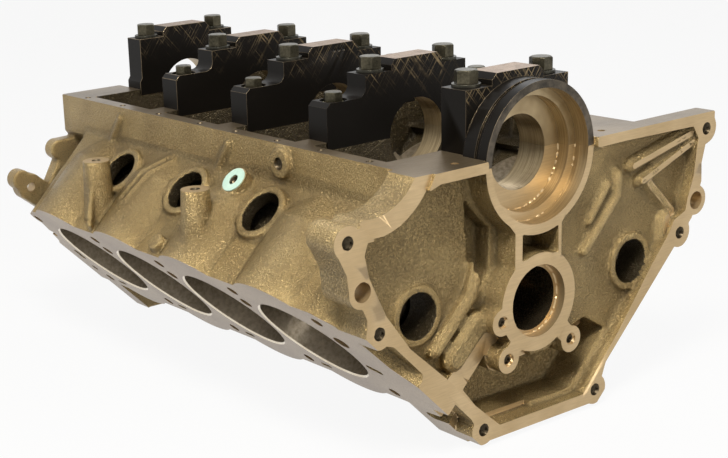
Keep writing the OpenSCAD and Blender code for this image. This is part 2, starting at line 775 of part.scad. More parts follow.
module wide_cap_outline() {
  difference() {
    both_sides(concat([[wide_half, 0], [wide_half, wing_h - wing_bevel],
      [wide_half - wing_bevel, wing_h], [block_half + scoop_r, wing_h],
      [block_half, wing_h + scoop_r]], crown_side()));
    for (m = [-1, 1]) translate([m * (block_half + scoop_r), wing_h + scoop_r])
      circle(r = scoop_r, $fn = round_fn);
  }
}

module inner_clear(y) {
  for (m = [-1, 1]) translate([m * inner_bolt_x, y, 0])
    drill(inner_shank_d + 2 * bolt_play, -eps, shoulder_h + eps);
}

module wide_cap(k) {
  y = web_ys[k];
  difference() {
    along(y - cap_t / 2, y + cap_t / 2) wide_cap_outline();
    translate([0, y - cap_t, 0]) rotate([-quarter, 0, 0]) drill(main_d, 0, 2 * cap_t);
    for (m = [-1, 1]) translate([m * outer_bolt_x, y, 0]) {
      drill(outer_shank_d + 2 * bolt_play, -eps, wing_h);
      drill(outer_washer_d + 3, wing_seat_h, wing_h + eps);
    }
    inner_clear(y);
  }
}

module rear_cap() {
  difference() {
    union() {
      along(step_back, rear_cap_y + cap_t / 2) cap_block_outline();
      intersection() {
        rotate([-quarter, 0, 0]) difference() {
          drill(2 * seal_out_r, ring_face, step_back + eps / 2);
          difference() {
            drill(2 * seal_out_r + eps, ring_face + 9, ring_face + 13);
            drill(2 * (seal_out_r - ring_groove), ring_face + 8, ring_face + 14);
          }
        }
        translate([-lot / 2, 0, 0]) cube([lot, lot, lot]);
      }
    }
    crank_line_cuts();
    inner_clear(rear_cap_y);
  }
}

module front_cap() {
  difference() {
    along(front_cap_y - cap_t / 2, front_cap_y + cap_t / 2) front_cap_outline();
    translate([0, front_cap_y - cap_t, 0]) rotate([-quarter, 0, 0]) drill(main_d, 0, 2 * cap_t);
    inner_clear(front_cap_y);
  }
}

module washer_pair(x, y, z, d, hole) {
  for (m = [-1, 1]) translate([m * x, y, z]) difference() {
    drill(d, 0, washer_t);
    drill(hole, -eps, washer_t + eps);
  }
}

module bolt_pair(x, y, z, shank, af, head, depth) {
  for (m = [-1, 1]) translate([m * x, y, 0]) {
    drill(shank, -depth, z + washer_t + 1);
    translate([0, 0, z + washer_t])
      cylinder(d = af / cos(half_turn / hex_sides), h = head, $fn = hex_sides);
  }
}

module inner_bolts(k) {
  bolt_pair(inner_bolt_x, cap_ys[k], shoulder_h, inner_shank_d, inner_af, inner_head_h,
    thread_in);
}
module outer_bolts(k) {
  bolt_pair(outer_bolt_x, web_ys[k], wing_seat_h, outer_shank_d, outer_af, outer_head_h,
    outer_thread_in);
}
module inner_washers(k) {
  washer_pair(inner_bolt_x, cap_ys[k], shoulder_h, inner_washer_d, inner_shank_d + bolt_play);
}
module outer_washers(k) {
  washer_pair(outer_bolt_x, web_ys[k], wing_seat_h, outer_washer_d, outer_shank_d + bolt_play);
}

module main_cap_rear() color("dimgray") rear_cap();
module main_cap_2() color("dimgray") wide_cap(0);
module main_cap_3() color("dimgray") wide_cap(1);
module main_cap_4() color("dimgray") wide_cap(2);
module main_cap_front() color("dimgray") front_cap();
module inner_bolts_rear() color("darkslategray") inner_bolts(0);
module inner_bolts_2() color("darkslategray") inner_bolts(1);
module inner_bolts_3() color("darkslategray") inner_bolts(2);
module inner_bolts_4() color("darkslategray") inner_bolts(3);
module inner_bolts_front() color("darkslategray") inner_bolts(4);
module inner_washers_rear() color("gray") inner_washers(0);
module inner_washers_2() color("gray") inner_washers(1);
module inner_washers_3() color("gray") inner_washers(2);
module inner_washers_4() color("gray") inner_washers(3);
module inner_washers_front() color("gray") inner_washers(4);
module outer_bolts_2() color("darkslategray") outer_bolts(0);
module outer_bolts_3() color("darkslategray") outer_bolts(1);
module outer_bolts_4() color("darkslategray") outer_bolts(2);
module outer_washers_2() color("khaki") outer_washers(0);
module outer_washers_3() color("khaki") outer_washers(1);
module outer_washers_4() color("khaki") outer_washers(2);
module pad_ring() color("paleturquoise") near_bank()
  translate([0, first_bore + pad_at[1], pad_at[2]]) rotate([0, quarter, 0]) difference() {
    drill(pad_d, pad_at[0], pad_at[0] + pad_t);
    drill(pad_hole_d, pad_at[0] - eps, pad_at[0] + pad_t + eps);
  }

cylinder_block();
main_cap_rear();
main_cap_2();
main_cap_3();
main_cap_4();
main_cap_front();
inner_bolts_rear();
inner_bolts_2();
inner_bolts_3();
inner_bolts_4();
inner_bolts_front();
inner_washers_rear();
inner_washers_2();
inner_washers_3();
inner_washers_4();
inner_washers_front();
outer_bolts_2();
outer_bolts_3();
outer_bolts_4();
outer_washers_2();
outer_washers_3();
outer_washers_4();
pad_ring();
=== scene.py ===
import math

import bmesh
import bpy
import numpy as np
from mathutils import Matrix, Vector
from mathutils.bvhtree import BVHTree

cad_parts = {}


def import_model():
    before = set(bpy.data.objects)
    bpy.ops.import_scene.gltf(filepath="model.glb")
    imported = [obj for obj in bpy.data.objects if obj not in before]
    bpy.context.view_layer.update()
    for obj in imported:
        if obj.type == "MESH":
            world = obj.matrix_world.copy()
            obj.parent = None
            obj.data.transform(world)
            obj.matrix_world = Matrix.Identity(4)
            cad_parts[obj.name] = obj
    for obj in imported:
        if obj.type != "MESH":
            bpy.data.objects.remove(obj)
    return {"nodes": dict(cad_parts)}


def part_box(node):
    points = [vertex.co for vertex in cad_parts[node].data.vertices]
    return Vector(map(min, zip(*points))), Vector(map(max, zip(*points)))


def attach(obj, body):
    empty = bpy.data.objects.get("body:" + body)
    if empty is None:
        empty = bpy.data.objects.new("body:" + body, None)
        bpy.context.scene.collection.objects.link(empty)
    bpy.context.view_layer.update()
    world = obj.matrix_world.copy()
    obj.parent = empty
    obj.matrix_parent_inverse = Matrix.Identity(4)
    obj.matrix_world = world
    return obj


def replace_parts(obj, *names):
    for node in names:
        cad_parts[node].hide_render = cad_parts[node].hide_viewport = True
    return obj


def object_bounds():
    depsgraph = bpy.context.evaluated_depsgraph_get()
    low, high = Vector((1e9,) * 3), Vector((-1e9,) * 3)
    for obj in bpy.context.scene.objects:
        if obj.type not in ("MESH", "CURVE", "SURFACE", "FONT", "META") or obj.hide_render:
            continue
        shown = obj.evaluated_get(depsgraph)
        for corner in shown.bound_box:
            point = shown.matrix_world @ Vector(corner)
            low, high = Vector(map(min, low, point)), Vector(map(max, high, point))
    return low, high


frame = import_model()
CAD_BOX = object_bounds()
NODES = frame["nodes"]
MM = 0.001
S45 = math.sqrt(0.5)

# Driving sizes of the block, in millimetres, as in the part's source.
DECK_H = 208.4
RAIL_TOP = 6.7
RING_FACE = 4.0
STARTER_RELIEF = 3.0
BOSS_DROP = 31.0
PAD_FACE = 83.978
BLOCK_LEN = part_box("cylinder_block")[1].y / MM
BORE_R = 52.4
BORE_PITCH = 111.25
BORES_PER_BANK = 4
FIRST_BORE = 115.1
BANK_STAGGER = 16.0
NEAR_UP = Vector((-S45, 0, -S45))
FAR_UP = Vector((S45, 0, -S45))
NEAR_OUT = Vector((-S45, 0, S45))
CAM_Z = -119.4
CAM_FACE = 6.0

# Stations along the crank of the flat steps in the seal seat and in the cam plug recess.
SEAL_STEPS = (18.0, 29.5)
PLUG_STEP = 13.0

# Caps and bolts: lengths in millimetres, and the ring on a head as a share of its flats.
PUNCH_DOTS = [(1.5, 258.55, 60.7), (6.8, 258.55, 60.7), (12.2, 258.55, 60.8)]
PUNCH_R = 1.5
INNER_FLATS = 17.0
OUTER_FLATS = 14.3
HEAD_CUTS = 5
HEAD_RING = 0.94
HEAD_SLOPE = math.radians(30)
CROWN_DEPTH = 0.3
EDGE_EASE = {"cap": 0.6, "bolt": 0.25, "washer": 0.35, "pad": 0.25}

# Ribs in the bell cavity: x and z of both ends, width, and station of the crest, in millimetres.
RIB_BACKS = [(97, -32, 97, -50, 10, 4.5), (97, -50, 58, -90, 10, 4.5), (86, -38, 64, -66, 7, 6.5),
             (112, -28, 190, -10, 6, 2.6), (124, -42, 195, -16, 6, 2.6), (136, -47, 164, -74, 7, 5.0),
             (156, -84, 154, -110, 7, 4.0), (122, -146, 104, -163, 8, 5.5)]
RIB_SIDES = 20

# Tapped holes in millimetres: their places, then radius, depth and pitch of each kind.
CAM_LOBES = [(-41.2, -128.7), (-34.2, -162.2), (39, -161.7)]
BELL_HOLES = [(-203.6, -29.5), (200.6, -7.5), (-174.9, -105.3), (170.4, -94.6),
              (-66.1, -212.9), (66.1, -212.9)]
RAIL_ROWS = (69, 129, 187, 246, 301, 369, 433, 499)
RAIL_BOLT_X = 122
BOSS_ROWS = (389, 226)
BOSS_X = -181.5
SKIRT_BOSS = (-134, 171, -9)
PAD_HOLE = (217.3, 123.66)
CAM_THREAD = (4.0, 17, 1.5)
FLANGE_THREAD = (5.5, 14, 1.75)
RAIL_THREAD = (3.3, 12, 1.25)
BOSS_THREAD = (4.5, 14, 1.5)
PAD_THREAD = (4.75, 10, 1.5)

# Thread form: sides of a turn, depth as a share of the pitch, and gap to the wall in millimetres.
THREAD_SIDES = 24
THREAD_SHARE = 0.6
THREAD_GAP = 0.02

# Casting skin: grid, smoothing and triangle budget.
VOXEL = 1.5 * MM
SMOOTH_STEPS = 11
SNAP = 0.85
FILL_RATE = 0.5
WEAR_RATE = 0.1
SKIN_TRIANGLES = 185000
SEAT_SINK = 0.25 * MM
FEATURE_BEND = math.radians(22)
SHARP_BEND = math.radians(28)
RIM_BEND = math.radians(12)

# How machined faces are told apart: tolerances, largest bore and the radii left as cored.
ON_PLANE = 0.02
ON_BORE = 0.3
CHAMFER_BAND = 3.0
LARGEST_BORE = 62.0
CORED = (19.0, 14.0)

# Zones of the casting that choose a material or a seat, in millimetres; several of them choose the
# painted-shade copy of the cast skin. Core mouths: side, station.
CRANK_BORES = 60.0
BAY_START = 50.0
BAY_FRONT_WALL = 6.0
BAY_R = 121.0
BAY_WEB_R = 112.0
BAY_FLOOR = -104.0
END_CORE = (115.7, -110.7)
END_CORE_MOUTHS = ((-1, 22.0), (1, 8.0))
END_CORE_R = CORED[0] + 0.6
REAR_WALL = 60.0
CAM_TUNNEL = 28.0
JACKET = (121.0, 198.0)
JACKET_HALF = 64.5
JACKET_END = 515.0
CORE_H = 142.0
CORE_R = CORED[0] + 0.4
CORE_WALL = (60.0, 77.0)
BORE_FOOT = 80.0
BORE_WALL = 124.0
SEAT_R = 56.0
SEAT_END = 44.0
PLUG_R = 31.5
PLUG_END = 14.0
FACE_MARGIN = 0.3


# Materials

def new_material(name):
    m = bpy.data.materials.new(name)
    m.use_nodes = True
    return m, m.node_tree.nodes, m.node_tree.links, m.node_tree.nodes["Principled BSDF"]


def noise(nodes, links, coords, scale, detail=2.0, rough=0.5):
    n = nodes.new("ShaderNodeTexNoise")
    n.inputs["Scale"].default_value = scale
    n.inputs["Detail"].default_value = detail
    n.inputs["Roughness"].default_value = rough
    links.new(coords, n.inputs["Vector"])
    return n.outputs["Fac"]


def object_coords(nodes):
    return nodes.new("ShaderNodeTexCoord").outputs["Object"]


def ramp(nodes, links, value, stops):
    r = nodes.new("ShaderNodeValToRGB")
    el = r.color_ramp.elements
    while len(el) < len(stops):
        el.new(0.5)
    for e, (at, colour) in zip(el, stops):
        e.position = at
        e.color = (*colour, 1)
    links.new(value, r.inputs["Fac"])
    return r.outputs["Color"]


def grey(v):
    return (v, v, v)


def bump(nodes, links, height, distance, strength=1.0, under=None):
    b = nodes.new("ShaderNodeBump")
    b.inputs["Strength"].default_value = strength
    b.inputs["Distance"].default_value = distance
    links.new(height, b.inputs["Height"])
    if under is not None:
        links.new(under, b.inputs["Normal"])
    return b.outputs["Normal"]


def multiplied(nodes, links, factor, a, b):
    m = nodes.new("ShaderNodeMix")
    m.data_type = "RGBA"
    m.blend_type = "MULTIPLY"
    m.inputs["Factor"].default_value = factor
    links.new(a, m.inputs["A"])
    links.new(b, m.inputs["B"])
    return m.outputs["Result"]


def math_node(nodes, links, op, a, b):
    m = nodes.new("ShaderNodeMath")
    m.operation = op
    for socket, value in zip(m.inputs, (a, b)):
        if isinstance(value, (int, float)):
            socket.default_value = value
        else:
            links.new(value, socket)
    return m.outputs[0]


def scaled_coords(nodes, links, coords, scale, rotation=(0, 0, 0)):
    m = nodes.new("ShaderNodeMapping")
    m.inputs["Scale"].default_value = scale
    m.inputs["Rotation"].default_value = rotation
    links.new(coords, m.inputs["Vector"])
    return m.outputs["Vector"]


def cast_material(name, shade):
    """Sand-cast skin: bronze grey with fine glittering grain, cloudy patches, and painted shade that
    darkens the hollows.
    """
    m, nodes, links, bsdf = new_material(name)
    at = object_coords(nodes)
    # shade scales both colours; the copy at 0.16 is painted shade.
    dark = tuple(shade * v for v in (0.34, 0.235, 0.095))
    light = tuple(shade * v for v in (0.52, 0.38, 0.17))
    cloud = noise(nodes, links, at, 22, 4, 0.6)
    grain = noise(nodes, links, at, 760, 4, 0.7)
    lump = noise(nodes, links, at, 300, 2, 0.5)
    base = ramp(nodes, links, cloud, [(0.3, dark), (0.7, light)])
    speck = ramp(nodes, links, grain, [(0.38, grey(0.28)), (0.6, grey(1.0))])
    base = multiplied(nodes, links, 0.85, base, speck)
    # Painted shade: low pointiness (hollows) darkens the colour strongly, flat faces a little, ridges
    # not at all.
    point = nodes.new("ShaderNodeNewGeometry").outputs["Pointiness"]
    wear_and_hollow_shade = ramp(nodes, links, point, [(0.43, grey(0.15)), (0.5, grey(0.75)), (0.57, grey(1.0))])
    base = multiplied(nodes, links, 1.0, base, wear_and_hollow_shade)
    links.new(base, bsdf.inputs["Base Color"])
    rough = ramp(nodes, links, grain, [(0.3, grey(0.36)), (0.7, grey(0.22))])
    links.new(rough, bsdf.inputs["Roughness"])
    bsdf.inputs["Metallic"].default_value = 0.68
    normal = bump(nodes, links, grain, 0.0013)
    normal = bump(nodes, links, lump, 0.0011, 0.6, normal)
    links.new(normal, bsdf.inputs["Normal"])
    return m


def machined_material(name, dark, light):
    """Milled faces: bright, with fine tool marks."""
    m, nodes, links, bsdf = new_material(name)
    at = object_coords(nodes)
    marks = noise(nodes, links, scaled_coords(nodes, links, at, (60, 900, 900)), 1.0, 3, 0.6)
    cloud = noise(nodes, links, at, 18, 3, 0.55)
    base = ramp(nodes, links, cloud, [(0.3, dark), (0.7, light)])
    streak = ramp(nodes, links, marks, [(0.35, grey(0.78)), (0.65, grey(1.0))])
    base = multiplied(nodes, links, 0.6, base, streak)
    links.new(base, bsdf.inputs["Base Color"])
    rough = ramp(nodes, links, marks, [(0.3, grey(0.4)), (0.7, grey(0.3))])
    links.new(rough, bsdf.inputs["Roughness"])
    bsdf.inputs["Metallic"].default_value = 0.75
    links.new(bump(nodes, links, marks, 0.00006), bsdf.inputs["Normal"])
    return m


def crossed_lines(nodes, links, at, turns, spacing):
    """Irregular straight scratches at the given turns about the block's long axis."""
    sets = []
    for turn in turns:
        turned = scaled_coords(nodes, links, at, (1, 1, 1), (0, turn, 0))
        drawn = scaled_coords(nodes, links, turned, (1 / spacing, 12, 14))
        streak = noise(nodes, links, drawn, 1.0, 3, 0.6)
        sets.append(ramp(nodes, links, streak, [(0.5, grey(0.0)), (0.62, grey(1.0))]))
    return math_node(nodes, links, "MAXIMUM", sets[0], sets[1])


def oxide_material():
    """Black oxide on the main caps, with crossed grinding marks worn to bronze."""
    m, nodes, links, bsdf = new_material("black_oxide")
    at = object_coords(nodes)
    scratch = crossed_lines(nodes, links, at, (0.72, -0.62), 1.3 * MM)
    patch = noise(nodes, links, at, 60, 3, 0.6)
    height = nodes.new("ShaderNodeSeparateXYZ")
    links.new(at, height.inputs[0])
    high = nodes.new("ShaderNodeMapRange")
    links.new(height.outputs["Z"], high.inputs["Value"])
    limits = {"From Min": 0.025, "From Max": 0.06, "To Min": -0.25, "To Max": 0.25}
    for socket, value in limits.items():
        high.inputs[socket].default_value = value
    spread = math_node(nodes, links, "ADD", patch, high.outputs["Result"])
    normal = nodes.new("ShaderNodeSeparateXYZ")
    links.new(nodes.new("ShaderNodeNewGeometry").outputs["Normal"], normal.inputs[0])
    faced = math_node(nodes, links, "ABSOLUTE", normal.outputs["Y"], 0.0)
    wear_and_hollow_shade = math_node(nodes, links, "MULTIPLY", scratch, spread)
    wear_and_hollow_shade = math_node(nodes, links, "MULTIPLY", wear_and_hollow_shade, faced)
    base = ramp(nodes, links, wear_and_hollow_shade, [(0.42, (0.006, 0.005, 0.004)), (0.62, (0.028, 0.021, 0.013)),
                                     (0.85, (0.2, 0.15, 0.085))])
    links.new(base, bsdf.inputs["Base Color"])
    rough = ramp(nodes, links, wear_and_hollow_shade, [(0.5, grey(0.38)), (0.8, grey(0.28))])
    links.new(rough, bsdf.inputs["Roughness"])
    bsdf.inputs["Metallic"].default_value = 0.2
    bsdf.inputs["Specular IOR Level"].default_value = 0.12
    links.new(bump(nodes, links, wear_and_hollow_shade, 0.00008), bsdf.inputs["Normal"])
    return m


def plain_metal(name, dark, light, rough, metallic, grain=500.0):
    """Metal or paint with fine grain and soft patches."""
    m, nodes, links, bsdf = new_material(name)
    at = object_coords(nodes)
    n = noise(nodes, links, at, grain, 3, 0.6)
    cloud = noise(nodes, links, at, 90, 2, 0.5)
    both = math_node(nodes, links, "MULTIPLY", math_node(nodes, links, "ADD", n, cloud), 0.5)
    links.new(ramp(nodes, links, both, [(0.35, dark), (0.65, light)]), bsdf.inputs["Base Color"])
    links.new(ramp(nodes, links, n, [(0.3, grey(rough + 0.08)), (0.7, grey(rough - 0.05))]),
              bsdf.inputs["Roughness"])
    bsdf.inputs["Metallic"].default_value = metallic
    links.new(bump(nodes, links, n, 0.00005), bsdf.inputs["Normal"])
    return m


def turned_metal(name, dark, light, scale):
    """Bright cut metal with fine marks, drawn out by the scale of its three axes."""
    m, nodes, links, bsdf = new_material(name)
    marks = noise(nodes, links, scaled_coords(nodes, links, object_coords(nodes), scale), 1.0, 3, 0.6)
    links.new(ramp(nodes, links, marks, [(0.35, dark), (0.65, light)]), bsdf.inputs["Base Color"])
    links.new(ramp(nodes, links, marks, [(0.3, grey(0.44)), (0.7, grey(0.34))]),
              bsdf.inputs["Roughness"])
    bsdf.inputs["Metallic"].default_value = 0.95
    links.new(bump(nodes, links, marks, 0.00003), bsdf.inputs["Normal"])
    return m


CAST = cast_material("sand_cast_skin", 1.0)
# Painted shade: a copy of the cast skin at 0.16 of its brightness, for the walls of the bays and webs,
# the end cores, the water jackets and the core holes.
CAST_PAINTED_SHADE = cast_material("sand_cast_painted_shade", 0.16)
MACHINED = machined_material("milled_face", (0.42, 0.3, 0.155), (0.54, 0.4, 0.225))
# Painted shade: the decks face downwards and get a darker, greyer copy of the milled colour.
DECK_PAINTED_SHADE = machined_material("milled_deck_painted_shade", (0.28, 0.205, 0.135), (0.38, 0.295, 0.2))
# Painted reflection: the milled rail top gets a much darker copy of the milled colour, standing for a
# dark reflection.
RAIL_PAINTED_REFLECTION = machined_material("milled_rail_painted_reflection", (0.11, 0.08, 0.046), (0.21, 0.16, 0.1))
OXIDE = oxide_material()
CROWN = plain_metal("bare_crown", (0.16, 0.11, 0.075), (0.3, 0.22, 0.16), 0.42, 0.8)
# Partly wear, partly painted highlight: the lighter bronze on the caps' bevelled edges.
EDGE_WEAR_AND_HIGHLIGHT = plain_metal("edge_wear_and_highlight", (0.1, 0.075, 0.045), (0.22, 0.17, 0.11), 0.35, 0.9)
BOLT = plain_metal("oiled_bolt", (0.03, 0.027, 0.017), (0.1, 0.088, 0.058), 0.34, 0.85)
DARK_WASHER = plain_metal("dark_washer", (0.02, 0.02, 0.016), (0.06, 0.055, 0.04), 0.35, 0.8)
YELLOW_WASHER = plain_metal("yellow_washer", (0.38, 0.31, 0.15), (0.6, 0.53, 0.3), 0.32, 0.9)
RING = plain_metal("ring_face", (0.03, 0.026, 0.02), (0.11, 0.09, 0.066), 0.38, 0.8, 300.0)
# Painted shade: the threads are a dark copy of cut metal, for the shade inside the tapped holes.
THREAD_PAINTED_SHADE = plain_metal("tapped_thread_painted_shade", (0.035, 0.026, 0.015), (0.1, 0.078, 0.048), 0.32, 0.9, 600.0)
BRIGHT_BORE = turned_metal("turned_bore", (0.27, 0.2, 0.11), (0.47, 0.37, 0.22), (25, 900, 25))
HONED = turned_metal("honed_bore", (0.3, 0.25, 0.18), (0.5, 0.43, 0.33), (250, 250, 250))
# Painted shade: the cut bore of the cam tunnel is coloured dark for the shade deep in the tunnel.
TUNNEL_PAINTED_SHADE = plain_metal("cam_tunnel_painted_shade", (0.09, 0.07, 0.04), (0.17, 0.13, 0.08), 0.26, 0.9, 700.0)
CHAMFER = plain_metal("bore_chamfer", (0.66, 0.56, 0.42), (0.82, 0.74, 0.6), 0.22, 0.95, 700.0)
# Painted shade: the insides of the punched dents are coloured near black.
PUNCH_PAINTED_SHADE = plain_metal("punch_mark_painted_shade", (0.004, 0.004, 0.003), (0.01, 0.009, 0.007), 0.5, 0.3)
PAD = plain_metal("pale_green_pad", (0.38, 0.56, 0.49), (0.48, 0.65, 0.57), 0.55, 0.0)
CASTING_LOOKS = [CAST, MACHINED, BRIGHT_BORE, CHAMFER, CAST_PAINTED_SHADE, TUNNEL_PAINTED_SHADE, HONED, DECK_PAINTED_SHADE, RAIL_PAINTED_REFLECTION]
CAP_LOOKS = [OXIDE, EDGE_WEAR_AND_HIGHLIGHT, CROWN, BRIGHT_BORE, RING, PUNCH_PAINTED_SHADE]


# Mesh helpers

def welded(node):
    """The node's mesh in triangles, with its doubled points joined."""
    bm = bmesh.new()
    bm.from_mesh(NODES[node].data)
    bmesh.ops.remove_doubles(bm, verts=bm.verts, dist=1e-6)
    bmesh.ops.triangulate(bm, faces=bm.faces)
    me = bpy.data.meshes.new(node + "_welded")
    bm.to_mesh(me)
    bm.free()
    return me


def read(me, kind, field, width, dtype=float):
    """One field of the mesh's points, edges or faces as an array."""
    data = np.zeros(len(getattr(me, kind)) * width, dtype)
    getattr(me, kind).foreach_get(field, data)
    return data.reshape(-1, width) if width > 1 else data


def put(name, me, materials):
    """A finished piece on the one body, in the frame."""
    ob = bpy.data.objects.new(name, me)
    bpy.context.scene.collection.objects.link(ob)
    index = read(me, "polygons", "material_index", 1, np.int32)
    me.materials.clear()
    for m in materials:
        me.materials.append(m)
    me.polygons.foreach_set("material_index", index)
    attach(ob, "root")
    return ob


# Which faces of the casting are machined

def machined_planes():
    """Normals and offsets in metres of the planes that are cut after casting."""
    down = Vector((0, -1, 0))
    front = Vector((0, 1, 0))
    up = Vector((0, 0, 1))
    planes = [(down, 0), (down, -STARTER_RELIEF), (down, -RING_FACE), (front, BLOCK_LEN),
              (front, BLOCK_LEN - 2), (up, RAIL_TOP), (up, 0), (up, -BOSS_DROP),
              (NEAR_UP, DECK_H), (FAR_UP, DECK_H), (NEAR_OUT, PAD_FACE)]
    planes += [(down, -y) for y in (*SEAL_STEPS, PLUG_STEP, CAM_FACE)]
    return [(n, d * MM) for n, d in planes]


def smooth_groups(edge_faces, face_normals, count, limit):
    """Labels of faces joined across edges that bend less than the limit."""
    dots = (face_normals[edge_faces[:, 0]] * face_normals[edge_faces[:, 1]]).sum(1)
    pairs = edge_faces[dots > math.cos(limit)]
    label = np.arange(count)
    while True:
        low = np.minimum(label[pairs[:, 0]], label[pairs[:, 1]])
        new = label.copy()
        np.minimum.at(new, pairs[:, 0], low)
        np.minimum.at(new, pairs[:, 1], low)
        new = new[new]
        if (new == label).all():
            return label
        label = new


def edge_table(me):
    """Edges with exactly two faces: vertex pairs and face pairs."""
    tri = read(me, "polygons", "vertices", 3, np.int32)
    e = np.sort(np.vstack([tri[:, [0, 1]], tri[:, [1, 2]], tri[:, [2, 0]]]), axis=1)
    f = np.tile(np.arange(len(tri)), 3)
    order = np.lexsort((e[:, 1], e[:, 0]))
    e, f = e[order], f[order]
    same = np.where((e[1:] == e[:-1]).all(1))[0]
    return e[same], np.stack([f[same], f[same + 1]], 1)


def is_bore(points, centres, normals):
    """True where a group of faces is the inside of a round hole."""
    values, vectors = np.linalg.eigh(normals.T @ normals / len(normals))
    axis = vectors[:, 0]
    if abs(normals @ axis).max() > 0.1 or values[1] < 0.15:
        return False
    u, v = vectors[:, 1], vectors[:, 2]
    x, y = points @ u, points @ v
    fit = np.linalg.lstsq(np.stack([x, y, np.ones(len(x))], 1), x * x + y * y, rcond=None)[0]
    cx, cy = fit[0] / 2, fit[1] / 2
    radius = math.sqrt(max(fit[2] + cx * cx + cy * cy, 0))
    spread = abs(np.hypot(x - cx, y - cy) - radius).max()
    inward = ((centres @ u - cx) * (normals @ u) + (centres @ v - cy) * (normals @ v)).mean()
    cored = any(abs(radius / MM - r) < ON_BORE for r in CORED)
    return inward < 0 and radius < LARGEST_BORE * MM and spread < ON_BORE * MM and not cored


def bank_places(points):
    """For each bank: its upward direction, first bore, and the points' height and offset."""
    for side, up, lead in ((-1, NEAR_UP, 0), (1, FAR_UP, BANK_STAGGER)):
        up = np.array(up)
        out = np.array((S45 * side, 0, S45))
        yield up, FIRST_BORE - lead, points @ up, points @ out


def tag_machined(me):
    """Sets a face attribute: 1 on machined faces, 0 on cast ones. Returns it as an array."""
    co = read(me, "vertices", "co", 3)
    tri = read(me, "polygons", "vertices", 3, np.int32)
    nor = read(me, "polygons", "normal", 3)
    centre = co[tri].mean(1)
    done = np.zeros(len(tri), bool)
    for n, d in machined_planes():
        n = np.array(n)
        on = (abs(co @ n - d) < ON_PLANE * MM)[tri].all(1)
        done |= on & (nor @ n > 0.99)
    for up, first, height, across in bank_places(centre):
        for k in range(BORES_PER_BANK):
            y = centre[:, 1] - (first + k * BORE_PITCH) * MM
            reach = np.hypot(across, y)
            chamfer = (reach < (BORE_R + 2) * MM) & (reach > (BORE_R - 0.2) * MM)
            done |= chamfer & (height > (DECK_H - CHAMFER_BAND) * MM)
            wall = (abs(reach - BORE_R * MM) < ON_BORE * MM) & (height > (DECK_H - BORE_WALL) * MM)
            done |= wall & (abs(nor @ up) < 0.1)
    _, pairs = edge_table(me)
    label = smooth_groups(pairs, nor, len(tri), FEATURE_BEND)
    for g in np.unique(label[~done]):
        mine = np.where((label == g) & ~done)[0]
        if len(mine) >= 8 and is_bore(co[np.unique(tri[mine])], centre[mine], nor[mine]):
            done[mine] = True
    a = me.attributes.new("machined", "FLOAT", "FACE")
    a.data.foreach_set("value", done.astype(np.float32))
    return done


# The casting's skin: rounded where it is as cast, sharp where it is cut

def feature_edges(me, done):
    """Edge-only mesh of the sharp edges that touch a machined face."""
    pairs, faces = edge_table(me)
    normals = read(me, "polygons", "normal", 3)
    bend = (normals[faces[:, 0]] * normals[faces[:, 1]]).sum(1)
    keep = pairs[(bend < math.cos(FEATURE_BEND)) & done[faces].any(1)]
    used, index = np.unique(keep, return_inverse=True)
    out = bpy.data.meshes.new("feature_edges")
    out.from_pydata(read(me, "vertices", "co", 3)[used].tolist(), index.reshape(-1, 2).tolist(), [])
    return out


def linked(name, me):
    ob = bpy.data.objects.new(name, me)
    bpy.context.scene.collection.objects.link(ob)
    return ob


def probe_group(source, edges):
    """Geometry nodes that store, for each point, the nearest surface and feature edge."""
    tree = bpy.data.node_groups.new("probe", "GeometryNodeTree")
    for way in ("INPUT", "OUTPUT"):
        tree.interface.new_socket("Geometry", in_out=way, socket_type="NodeSocketGeometry")
    nodes, links = tree.nodes, tree.links

    def form_of(ob):
        info = nodes.new("GeometryNodeObjectInfo")
        info.inputs["Object"].default_value = ob
        return info.outputs["Geometry"]

    def nearest(kind, field):
        at = nodes.new("GeometryNodeSampleNearestSurface")
        at.data_type = kind
        links.new(form_of(source), at.inputs["Mesh"])
        links.new(field, at.inputs["Value"])
        return at.outputs["Value"]

    cut = nodes.new("GeometryNodeInputNamedAttribute")
    cut.data_type = "FLOAT"
    cut.inputs["Name"].default_value = "machined"
    place = nodes.new("GeometryNodeInputPosition")
    close = nodes.new("GeometryNodeProximity")
    close.target_element = "EDGES"
    links.new(form_of(edges), close.inputs[0])
    stored = [("cut", "FLOAT", nearest("FLOAT", cut.outputs["Attribute"])),
              ("surface", "FLOAT_VECTOR", nearest("FLOAT_VECTOR", place.outputs[0])),
              ("edge", "FLOAT_VECTOR", close.outputs["Position"]),
              ("gap", "FLOAT", close.outputs["Distance"])]
    flow = nodes.new("NodeGroupInput").outputs[0]
    for name, kind, value in stored:
        keep = nodes.new("GeometryNodeStoreNamedAttribute")
        keep.data_type = kind
        keep.inputs["Name"].default_value = name
        links.new(flow, keep.inputs["Geometry"])
        links.new(value, keep.inputs["Value"])
        flow = keep.outputs["Geometry"]
    links.new(flow, nodes.new("NodeGroupOutput").inputs[0])
    return tree


def evaluated(ob):
    graph = bpy.context.evaluated_depsgraph_get()
    graph.update()
    return bpy.data.meshes.new_from_object(ob.evaluated_get(graph))


def attribute(me, name, width):
    data = np.zeros(len(me.vertices) * width, np.float32)
    me.attributes[name].data.foreach_get("vector" if width > 1 else "value", data)
    return data.reshape(-1, width).astype(float) if width > 1 else data


def relaxed(co, pairs, normals, free, steps):
    """Points drawn towards their neighbours: hollows fill more than ridges wear."""
    count = len(co)
    a, b = pairs[:, 0], pairs[:, 1]
    degree = np.bincount(a, minlength=count) + np.bincount(b, minlength=count)
    co = co.copy()
    for _ in range(steps):
        pull = np.empty_like(co)
        for i in range(3):
            pull[:, i] = (np.bincount(a, co[b, i], count) + np.bincount(b, co[a, i], count)) / degree
        pull -= co
        filling = (pull * normals).sum(1) > 0
        co += pull * (np.where(filling, FILL_RATE, WEAR_RATE) * free)[:, None]
    return co


